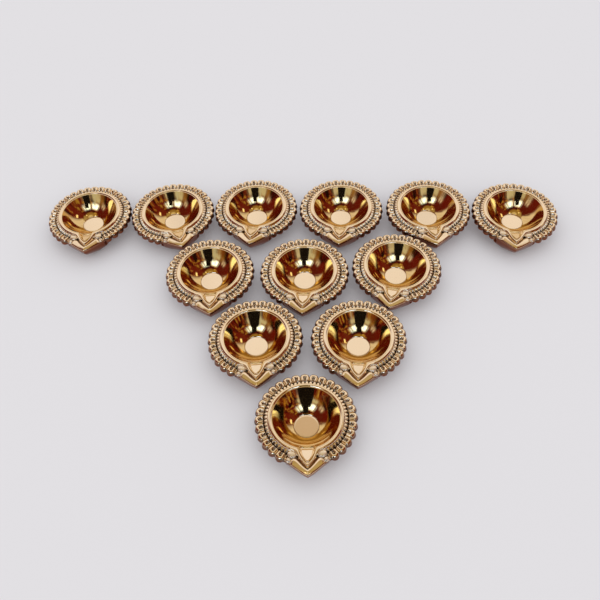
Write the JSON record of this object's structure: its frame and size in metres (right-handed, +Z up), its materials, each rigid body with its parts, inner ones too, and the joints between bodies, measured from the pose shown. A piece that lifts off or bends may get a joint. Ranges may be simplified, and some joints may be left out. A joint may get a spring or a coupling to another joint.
{
  "type": "brass diya set",
  "caption": "Set of small round brass oil lamps with petalled borders and pointed wick spouts, standing apart in a triangle.",
  "frame": {"origin": "bottom centre of the set's bounding box, on the surface that the lamps stand on", "axes": "+Z up, which is the shortest extent; +X along the long row, which is the longest extent; the spouts point along -Y"},
  "size_m": [0.3664, 0.2395, 0.0156],
  "materials": {
    "brass": "polished"
  },
  "bodies": {
    "root": {"lamp_01": "brass", "lamp_02": "brass", "lamp_03": "brass", "lamp_04": "brass", "lamp_05": "brass", "lamp_06": "brass", "lamp_07": "brass", "lamp_08": "brass", "lamp_09": "brass", "lamp_10": "brass", "lamp_11": "brass", "lamp_12": "brass"}
  },
  "joints": []
}
